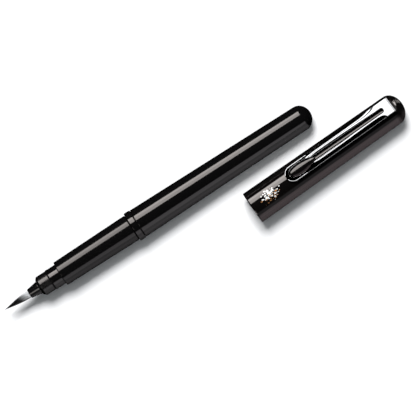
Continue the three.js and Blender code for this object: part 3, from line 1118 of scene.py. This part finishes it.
def clip_blade(size):
    """The folded strip: two rails round an opening, a rounded foot, a head and a tang."""
    spots = CLIP.vertices("clip")
    top, half = float(spots[:, 2].max()), float(spots[:, 1].max())
    foot, head, _ = CLIP.reach("clip")
    level = head - foot
    lead_length, lead_droop = 0.3, 0.1
    sections = []
    for run in clip_stations():
        outer = half
        if run < half:
            outer = math.sqrt(max(0, half**2 - (half - run) ** 2))
        outer += (TANG_HALF - half) * eased(run, level + NECK_START, level + NECK_END)
        inner = opening_half_width(foot + run) if foot + run < head - 2 else 0
        lead = max(0, 1 - run / lead_length)
        sections.append((run, outer, inner, lead_droop * (1 - math.sqrt(1 - lead**2))))
    vertices, faces = [], []
    for side in (1, -1):
        loops = []
        for run, outer, inner, droop in sections:
            (x, z), (lean_x, lean_z) = clip_place(run, top)
            loop = []
            for y, height in blade_ring(inner, outer):
                bent = blade_height(size, run, y, inner, outer, half)
                height += bent - droop if height > -SHEET else 0.7 * bent
                loop.append(len(vertices))
                vertices.append(CLIP.point(x + lean_x * height, side * y, z + lean_z * height))
            loops.append((loop, inner))
        for (a, hole_a), (b, hole_b) in zip(loops, loops[1:]):
            for i in range(len(a)):
                j = (i + 1) % len(a)
                if i == 0 and hole_a == 0 and hole_b == 0:
                    continue
                faces.append([a[i], a[j], b[j], b[i]])
        faces.append(loops[-1][0])
    return vertices, faces


def boss():
    """The drop-shaped boss: a flat shoe with a smooth pillow on top."""
    spots = CLIP.vertices("clip_shoe")
    foot, point, _ = CLIP.reach("clip_shoe")
    low, high = float(spots[:, 2].min()), float(spots[:, 2].max())
    half = float(spots[:, 1].max())
    shoulder = high - 1.1
    loops, vertices = [], []
    steps, across = 44, 20
    for i in range(steps + 1):
        along = (1 - math.cos(math.pi * i / steps)) / 2
        wide = drop_half_width(along, half)
        x = foot + (point - foot) * along
        rise = (high - shoulder) * min(1, wide / half) ** 0.35
        loop = []
        for k in range(across + 1):
            angle = (-1 + 2 * k / across) * math.pi / 2
            loop.append((x, wide * math.sin(angle), shoulder + rise * math.cos(angle) ** 0.75))
        loop += [(x, wide, low), (x, 0, low), (x, -wide, low)]
        loops.append(list(range(len(vertices), len(vertices) + len(loop))))
        vertices += [CLIP.point(*spot) for spot in loop]
    return vertices, bridged(loops)


def tang_pocket():
    """A block that clears the clip's tang, to be cut out of the crown."""
    head, half = CLIP.reach("clip")[1], TANG_HALF + 0.4
    xs, ys, zs = (head - 1.0, head + 0.42), (-half, half), (3.2, 9)
    corners = [CLIP.point(x, y, z) for x in xs for y in ys for z in zs]
    sides = [[0, 1, 3, 2], [4, 6, 7, 5], [0, 4, 5, 1], [2, 3, 7, 6], [0, 2, 6, 4], [1, 5, 7, 3]]
    return corners, sides


def carve(obj, shape):
    """Cuts a shape out of a piece."""
    cutter = placed("cutter", drawn("cutter", shape))
    cut = obj.modifiers.new("pocket", "BOOLEAN")
    cut.operation = "DIFFERENCE"
    cut.solver = "EXACT"
    cut.object = cutter
    bpy.context.view_layer.update()
    graph = bpy.context.evaluated_depsgraph_get()
    carved = bpy.data.meshes.new_from_object(obj.evaluated_get(graph))
    obj.modifiers.clear()
    obj.data = carved
    bpy.data.objects.remove(cutter)
    if not carved.polygons:
        raise RuntimeError(f"cutting {obj.name} left nothing")


# ---- stage ----------------------------------------------------------------------------------


def hide(obj, *rays):
    """Keeps an object out of sight of some kinds of ray."""
    for ray in rays:
        setattr(obj, f"visible_{ray}", False)


def angles(*degrees):
    """Angles in degrees, as radians."""
    return [math.radians(angle) for angle in degrees]


def emitter(name, colour, strength, sampled):
    """A glow that other cards show through."""
    material = bpy.data.materials.new(name)
    material.use_nodes = True
    tree = material.node_tree
    tree.nodes.clear()
    glow = tree.nodes.new("ShaderNodeEmission")
    glow.inputs["Color"].default_value = (*colour, 1)
    glow.inputs["Strength"].default_value = strength
    clear = tree.nodes.new("ShaderNodeBsdfTransparent")
    both = tree.nodes.new("ShaderNodeAddShader")
    output = tree.nodes.new("ShaderNodeOutputMaterial")
    tree.links.new(glow.outputs["Emission"], both.inputs[0])
    tree.links.new(clear.outputs["BSDF"], both.inputs[1])
    tree.links.new(both.outputs["Shader"], output.inputs["Surface"])
    if not sampled:
        material.cycles.emission_sampling = "NONE"
    return material


def card(name, groups, toward, zeniths, span, colour, strength, sampled=False):
    """A glowing card seen only in the reflections of some groups of pieces.

    It stands towards a horizontal direction, between two angles from overhead, and its span is
    measured in metres to the right of someone who looks at it.
    """
    distance, eye = 0.4, Vector((0, 0, 0.008))
    toward = Vector(toward)
    right = toward.cross(Vector((0, 0, 1)))
    middle, spread = sum(zeniths) / 2, abs(zeniths[1] - zeniths[0]) / 2
    out = toward * math.sin(middle) + Vector((0, 0, math.cos(middle)))
    down = toward * math.cos(middle) - Vector((0, 0, math.sin(middle)))
    reach = distance * math.tan(spread)
    corners = []
    for side, way in ((0, -1), (1, -1), (1, 1), (0, 1)):
        corners.append(right * span[side] + out * distance + down * reach * way + eye)
    mesh = drawn(name, (corners, [[0, 1, 2, 3]]))
    mesh.materials.append(emitter(name, colour, strength, sampled))
    obj = placed(name, mesh)
    hide(obj, "camera", "diffuse", "shadow", "transmission")
    receivers = bpy.data.collections.new(name + "_shows_in")
    for group in groups:
        receivers.children.link(collection(group))
    obj.light_linking.receiver_collection = receivers
    obj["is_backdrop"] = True


def lamp(name, power, size, place, colour=(1, 1, 1)):
    """A soft lamp aimed at the middle of the frame, that doesn't show in reflections."""
    data = bpy.data.lights.new(name, "AREA")
    data.energy = power
    data.size = size
    data.color = colour
    obj = placed(name, data)
    obj.location = place
    obj.rotation_euler = Vector(place).to_track_quat("Z", "Y").to_euler()
    hide(obj, "glossy", "camera")


def matt_paper(name, colour):
    """Dull paper with a fine grain."""
    finish = Finish(name, Specular_IOR_Level=0.1)
    grain = finish.noise(900, 3)
    return finish.feed(
        Base_Color=finish.blend(grain, tinted(colour, 0.985), colour),
        Roughness=0.8 + grain * 0.1,
    )


def build_floor(colour):
    """A square of paper under the whole, a hair below it."""
    low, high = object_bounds()
    half = 14 * (high[0] - low[0]) / 2
    level = low[2] - 0.03 * MM
    corners = [(-half, -half, level), (half, -half, level), (half, half, level), (-half, half, level)]
    mesh = drawn("floor", (corners, [[0, 1, 2, 3]]))
    mesh.materials.append(matt_paper("floor_paper", colour))
    floor = placed("floor", mesh)
    hide(floor, "glossy")
    floor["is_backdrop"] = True


def build_camera(size):
    """A long lens straight above, framed at the height of the pen's and the cap's middles."""
    low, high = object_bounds()
    data = bpy.data.cameras.new("camera")
    data.lens = size.lens
    data.sensor_width = 36
    data.clip_start, data.clip_end = 0.01, 20
    camera = placed("camera", data)
    span = (high[0] - low[0]) * size.framing
    framed = (high[2] - low[2]) * 0.42
    middle = (Vector(low) + Vector(high)) / 2
    camera.location = (
        middle.x + size.aim[0] * MM,
        middle.y + size.aim[1] * MM,
        framed + span * size.lens / data.sensor_width,
    )
    camera.rotation_euler = (0, 0, -size.bearing)
    bpy.context.scene.camera = camera


# ---- settings -------------------------------------------------------------------------------


def colour_of(name, description, default):
    """A colour that a user may change."""
    return bpy.props.FloatVectorProperty(
        name=name, description=description, default=default, subtype="COLOR", size=3, min=0, max=1
    )


def length_of(name, description, default, least=0.0):
    """A length in mm that a user may change."""
    return bpy.props.FloatProperty(
        name=name, description=description + ", in mm", default=default, min=least
    )


def count_of(name, description, default, least):
    """A number of like things that a user may change."""
    return bpy.props.IntProperty(
        name=name, description="Number of " + description, default=default, min=least
    )


def angle_of(name, description, degrees):
    """An angle that a user may change."""
    return bpy.props.FloatProperty(
        name=name, description=description, default=math.radians(degrees), subtype="ANGLE"
    )


class PenSizes(bpy.types.PropertyGroup):
    """Sizes of the pen's pieces"""

    dome_depth: length_of("Dome depth", "Depth of the barrel's rounded tail", 4.2, 1.0)
    edge: length_of("Edge", "Fillet of the moulded edges", 0.22, 0.02)
    pitch: length_of("Pitch", "Pitch of the section's thread", 1.25, 0.5)
    fins: count_of("Fins", "fins on the ink feed", 8, 2)
    fibres: count_of("Fibres", "loose bristles round the tuft", 460, 50)
    seam: length_of("Seam", "Width of the fine line between two pieces", 0.06)
    fibre_width: length_of("Fibre width", "Thickness of a bristle", 0.09, 0.02)
    ink_front: length_of("Ink front", "How far the ink has climbed from the tip", 9.6)


class CapSizes(bpy.types.PropertyGroup):
    """Sizes of the cap's pieces and of its clip"""

    seam: length_of("Seam", "Width of the line between shell and crown", 0.07)
    rings: count_of("Rings", "turned rings on the crown", 4, 1)
    rail_tilt: angle_of("Rail tilt", "Slope of the clip's blade at its edges", 14)
    rail_crown: angle_of("Rail crown", "Slope of each rail's own crown at its edges", 18)
    paddle_tilt: angle_of("Paddle tilt", "Slope of the clip's paddle at its edges", 22)
    flecks: count_of("Flecks", "printed flecks near the mouth", 64, 1)


class PenColours(bpy.types.PropertyGroup):
    """Colours of the finishes"""

    plastic: colour_of("Plastic", "Pen's black plastic", (0.0026, 0.0025, 0.0026))
    cap_plastic: colour_of("Cap plastic", "Cap's black plastic", (0.0028, 0.0024, 0.0024))
    chrome: colour_of("Chrome", "Clip's plate", (0.93, 0.935, 0.95))
    bristle: colour_of("Bristle", "Dry bristles", (0.62, 0.63, 0.64))
    ink: colour_of("Ink", "Ink in the tuft and cartridge", (0.003, 0.003, 0.0035))
    white_fleck: colour_of("White fleck", "Pale printed flecks", (0.9, 0.9, 0.88))
    copper_fleck: colour_of("Copper fleck", "Foil flecks", (0.62, 0.3, 0.12))
    floor: colour_of("Floor", "Table top", (0.86, 0.86, 0.87))


def power_of(name, description, default):
    """A lamp's power that a user may change."""
    return bpy.props.FloatProperty(
        name=name, description=description, default=default, min=0, unit="POWER"
    )


class StageSizes(bpy.types.PropertyGroup):
    """The camera's framing and the power of the lamps"""

    lens: bpy.props.FloatProperty(
        name="Lens", description="Focal length of the camera", default=200, min=20, unit="CAMERA"
    )
    framing: bpy.props.FloatProperty(
        name="Framing", description="Width of the view as a share of the whole's length", default=0.933
    )
    bearing: angle_of("Bearing", "How far the pen is turned from level in the view", 32.96)
    aim: bpy.props.FloatVectorProperty(
        name="Aim", description="Where the camera points, off the middle, in mm", default=(1.1, 0.1), size=2
    )
    key_power: power_of("Key", "Power of the main lamp", 64)
    fill_power: power_of("Fill", "Power of the fill", 9)


class PenSettings(bpy.types.PropertyGroup):
    """Everything that a user may change"""

    pen: bpy.props.PointerProperty(type=PenSizes)
    cap: bpy.props.PointerProperty(type=CapSizes)
    colours: bpy.props.PointerProperty(type=PenColours)
    stage: bpy.props.PointerProperty(type=StageSizes)


# ---- operators ------------------------------------------------------------------------------


class BuildBarrel(bpy.types.Operator):
    """Builds the barrel, with its domed tail and blind bore"""

    bl_idname = "brushpen.barrel"
    bl_label = "Barrel"

    def execute(self, context):
        settings = context.scene.brush_pen
        shape = turned(PEN, barrel_outline(settings.pen), 128)
        plastic = moulded_gloss("barrel_plastic", settings.colours.plastic)
        piece("barrel_tube", shape, plastic, "barrel", ["barrel"])
        return {"FINISHED"}


class BuildRing(bpy.types.Operator):
    """Builds the step ring and the rubber seal behind it"""

    bl_idname = "brushpen.ring"
    bl_label = "Step ring and seal"

    def execute(self, context):
        settings = context.scene.brush_pen
        shape = turned(PEN, ring_outline(settings.pen), 128)
        plastic = moulded_gloss("ring_plastic", settings.colours.plastic, 0.08)
        piece("ring_band", shape, plastic, "ring", ["step_ring"])
        front, rear, outer = PEN.reach("joint_seal")
        thickness = (rear - front) / 2
        shape = turned(PEN, hoop((front + rear) / 2, outer - thickness, thickness), 72)
        rubber = soft_rubber("joint_rubber", (0.012, 0.012, 0.012))
        piece("joint_hoop", shape, rubber, "seal", ["joint_seal"])
        return {"FINISHED"}


class BuildSection(bpy.types.Operator):
    """Builds the grip section with its threaded spigot"""

    bl_idname = "brushpen.section"
    bl_label = "Grip section"

    def execute(self, context):
        settings = context.scene.brush_pen
        shape = joined(turned(PEN, section_outline(settings.pen), 128), section_thread(settings.pen))
        plastic = moulded_gloss("section_plastic", settings.colours.plastic, 0.1, 1.43)
        piece("section_grip", shape, plastic, "section", ["section_shell"])
        return {"FINISHED"}


class BuildNose(bpy.types.Operator):
    """Builds the beaded collar and the nose cone"""

    bl_idname = "brushpen.nose"
    bl_label = "Collar and nose cone"

    def execute(self, context):
        settings = context.scene.brush_pen
        satin_end = PEN.reach("tip_collar")[0] + 4.6
        collar = moulded_gloss("collar_plastic", settings.colours.plastic, 0.08, 1.52, satin_end)
        shape = turned(PEN, collar_outline(settings.pen), 96)
        piece("collar_bead", shape, collar, "section", ["tip_collar"])
        cone = moulded_gloss("cone_plastic", settings.colours.plastic, 0.09)
        shape = turned(PEN, cone_outline(), 96)
        piece("cone_nose", shape, cone, "section", ["nose_cone"])
        return {"FINISHED"}


class BuildTuft(bpy.types.Operator):
    """Builds the brush: a packed core, loose bristles and the bound root"""

    bl_idname = "brushpen.tuft"
    bl_label = "Brush tuft"

    def execute(self, context):
        settings = context.scene.brush_pen
        nylon = inked_bristle("nylon_bristle", settings.colours.bristle, settings.colours.ink)
        root = PEN.reach("brush_tuft")[1]
        for name, shape in (("tuft_core", tuft_core()), ("tuft_fibres", tuft_fibres(settings.pen))):
            obj = piece(name, shape, nylon, "tuft", ["brush_tuft"])
            soak(obj, settings.pen.ink_front)
            obj.parent = None
            PEN.point(root, 0, 0)
            PEN.point(root - 6, 0, 0)
            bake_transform(obj)
        shape = turned(PEN, root_outline(), 48)
        glue = satin_plastic("bristle_binding", (0.6, 0.57, 0.5), 0.45)
        piece("tuft_binding", shape, glue, "section", ["tuft_base"])
        return {"FINISHED"}


class BuildFeed(bpy.types.Operator):
    """Builds the finned ink feed, its tube and the cartridge's spigot"""

    bl_idname = "brushpen.feed"
    bl_label = "Ink feed"

    def execute(self, context):
        settings = context.scene.brush_pen
        comb = satin_plastic("feed_plastic", (0.012, 0.012, 0.013))
        shape = turned(PEN, feed_outline(settings.pen), 64)
        piece("feed_comb", shape, comb, "section", ["feed"])
        shape = turned(PEN, tube_outline(), 32)
        clear = milky_plastic("tube_plastic", (0.85, 0.85, 0.82), 0.4)
        piece("feed_capillary", shape, clear, "section", ["feed_tube"])
        plug = satin_plastic("plug_plastic", (0.01, 0.01, 0.011), 0.4)
        shape = turned(PEN, plug_outline(), 64)
        piece("plug_nipple", shape, plug, "section", ["cartridge_spigot"])
        return {"FINISHED"}


class BuildCartridge(bpy.types.Operator):
    """Builds the ink cartridge with its ball and its ink"""

    bl_idname = "brushpen.cartridge"
    bl_label = "Cartridge"

    def execute(self, context):
        settings = context.scene.brush_pen
        bottle = milky_plastic("cartridge_plastic", (0.78, 0.8, 0.82), 0.75)
        shape = turned(PEN, cartridge_outline(), 72)
        piece("cartridge_bottle", shape, bottle, "cartridge", ["cartridge_body"])
        steel = polished_steel("ball_steel", (0.55, 0.56, 0.58))
        piece("cartridge_bead", ball(), steel, "cartridge", ["cartridge_ball"])
        ink = liquid_ink("ink", settings.colours.ink)
        piece("ink_pool", ink_body(), ink, "cartridge", ["ink_charge"])
        return {"FINISHED"}


class BuildCap(bpy.types.Operator):
    """Builds the cap's shell and the flecks printed near its mouth"""

    bl_idname = "brushpen.cap"
    bl_label = "Cap"

    def execute(self, context):
        settings = context.scene.brush_pen
        plastic = moulded_gloss("cap_plastic", settings.colours.cap_plastic, 0.05, 1.56)
        shape = turned(CAP, cap_outline(settings.cap), 128)
        piece("cap_tube", shape, plastic, "cap", ["cap_shell"], group="cap")
        paint = printed_fleck("white_print", settings.colours.white_fleck, 0.0)
        shape = flecks(settings.cap.flecks, 11, 1.5, 0.12)
        piece("pale_flecks", shape, paint, "cap", group="cap")
        foil = printed_fleck("copper_foil", settings.colours.copper_fleck, 0.8)
        shape = flecks(settings.cap.flecks // 2, 5, 1.9, -0.1)
        piece("copper_flecks", shape, foil, "cap", group="cap")
        return {"FINISHED"}


class BuildCrown(bpy.types.Operator):
    """Builds the ringed crown, with the pocket that holds the clip's tang"""

    bl_idname = "brushpen.crown"
    bl_label = "Crown"

    def execute(self, context):
        settings = context.scene.brush_pen
        plastic = moulded_gloss("crown_plastic", settings.colours.cap_plastic, 0.06)
        shape = turned(CAP, crown_outline(settings.cap), 128)
        obj = piece("crown_dome", shape, plastic, "cap", ["crown"], group="cap")
        carve(obj, tang_pocket())
        return {"FINISHED"}


class BuildInnerCap(bpy.types.Operator):
    """Builds the inner cap and the ring that seals it"""

    bl_idname = "brushpen.inner_cap"
    bl_label = "Inner cap"

    def execute(self, context):
        plastic = satin_plastic("inner_cap_plastic", (0.5, 0.51, 0.52), 0.35)
        shape = turned(CAP, inner_cap_outline(), 96)
        piece("inner_cup", shape, plastic, "cap", ["inner_cap"], group="cap")
        rubber = soft_rubber("cap_rubber", (0.02, 0.02, 0.021))
        shape = turned(CAP, seal_outline(), 96)
        piece("inner_gasket", shape, rubber, "cap", ["inner_cap_seal"], group="cap")
        return {"FINISHED"}


class BuildClip(bpy.types.Operator):
    """Builds the plated clip and its black boss"""

    bl_idname = "brushpen.clip"
    bl_label = "Clip"

    def execute(self, context):
        settings = context.scene.brush_pen
        plate = chrome_plate("clip_plate", settings.colours.chrome)
        piece("clip_strip", clip_blade(settings.cap), plate, "clip", ["clip"], "plate")
        plastic = moulded_gloss("boss_plastic", settings.colours.cap_plastic, 0.04)
        piece("clip_boss", boss(), plastic, "clip", ["clip_shoe"], group="cap")
        return {"FINISHED"}


class BuildStage(bpy.types.Operator):
    """Sets out the pale floor, the soft lamps, the cards seen in the gloss, and the camera"""

    bl_idname = "brushpen.stage"
    bl_label = "Stage"

    def execute(self, context):
        settings = context.scene.brush_pen
        build_floor(settings.colours.floor)
        build_camera(settings.stage)
        world = bpy.data.worlds.new("pale_backdrop")
        world.use_nodes = True
        world.node_tree.nodes["Background"].inputs["Color"].default_value = (0.9, 0.9, 0.91, 1)
        for ray in ("diffuse", "glossy", "transmission", "scatter"):
            setattr(world.cycles_visibility, ray, False)
        context.scene.world = world
        lamp("key", settings.stage.key_power, 0.8, (0.24, 1.12, 1.87))
        lamp("fill", settings.stage.fill_power, 2.0, (0, 0, 1.5), (0.94, 0.985, 1))
        left, right, end = (0, 1, 0), (0, -1, 0), (1, 0, 0)
        plastic, pen, cap, plate = ("pen", "cap"), ("pen",), ("cap",), ("plate",)
        warm, grey, brown, white = (1, 0.93, 0.9), (1, 0.95, 0.98), (1, 0.82, 0.85), (1, 1, 1)
        whole, strip, blade = (-0.2, 0.2), (-0.16, 0.15), (0.015, 0.11)
        card("strip_low", plastic, left, angles(50, 66), strip, warm, 9.0, True)
        card("strip_high", plastic, left, angles(28.5, 50), strip, warm, 7.0, True)
        card("strip_crown", cap, left, angles(24, 70), (0.15, 0.9), warm, 13.0)
        card("plate_low", plate, left, angles(47, 58), blade, white, 1.5, True)
        card("plate_high", plate, left, angles(29, 41), blade, white, 1.5, True)
        card("side_pen", pen, right, angles(43, 74), whole, grey, 1.15)
        card("low_pen", pen, right, angles(74, 110), whole, grey, 0.62)
        card("under_pen", pen, right, angles(110, 128), whole, grey, 0.34)
        card("edge_pen", pen, right, angles(128, 150), whole, grey, 0.13)
        card("side_cap", cap, right, angles(49, 72), whole, grey, 0.25)
        card("low_cap", cap, right, angles(72, 100), whole, brown, 0.95)
        card("under_cap", cap, right, angles(100, 124), whole, brown, 0.62)
        card("edge_cap", cap, right, angles(124, 150), whole, brown, 0.25)
        card("side_plate", plate, right, angles(45, 110), whole, white, 0.5)
        card("nose", pen, right, angles(0, 26), (0.15, 0.26), warm, 3.2)
        card("fold", plate, end, angles(20, 60), (-0.3, 0.1), white, 0.9)
        for obj in collection("cap").objects:
            hide(obj, "glossy")
        return {"FINISHED"}


class BrushPenPanel(bpy.types.Panel):
    """Lists the pieces in the order they are built"""

    bl_idname = "VIEW3D_PT_brush_pen"
    bl_label = "Brush Pen"
    bl_space_type = "VIEW_3D"
    bl_region_type = "UI"
    bl_category = "Brush Pen"

    def draw(self, context):
        for build in BUILDERS:
            self.layout.operator(build.bl_idname)


BUILDERS = (
    BuildBarrel,
    BuildRing,
    BuildSection,
    BuildNose,
    BuildTuft,
    BuildFeed,
    BuildCartridge,
    BuildCap,
    BuildCrown,
    BuildInnerCap,
    BuildClip,
    BuildStage,
)
CLASSES = (PenSizes, CapSizes, PenColours, StageSizes, PenSettings, *BUILDERS, BrushPenPanel)


def register():
    """Makes the settings, the operators and the panel known to Blender."""
    for cls in CLASSES:
        bpy.utils.register_class(cls)
    bpy.types.Scene.brush_pen = bpy.props.PointerProperty(type=PenSettings)


def unregister():
    """Takes them away again."""
    del bpy.types.Scene.brush_pen
    for cls in reversed(CLASSES):
        bpy.utils.unregister_class(cls)


def main():
    """Builds every piece and the stage."""
    register()
    scene = bpy.context.scene
    scene.view_settings.view_transform = "Standard"
    for build in BUILDERS:
        group, name = build.bl_idname.split(".")
        getattr(getattr(bpy.ops, group), name)()


if __name__ == "__main__":
    main()
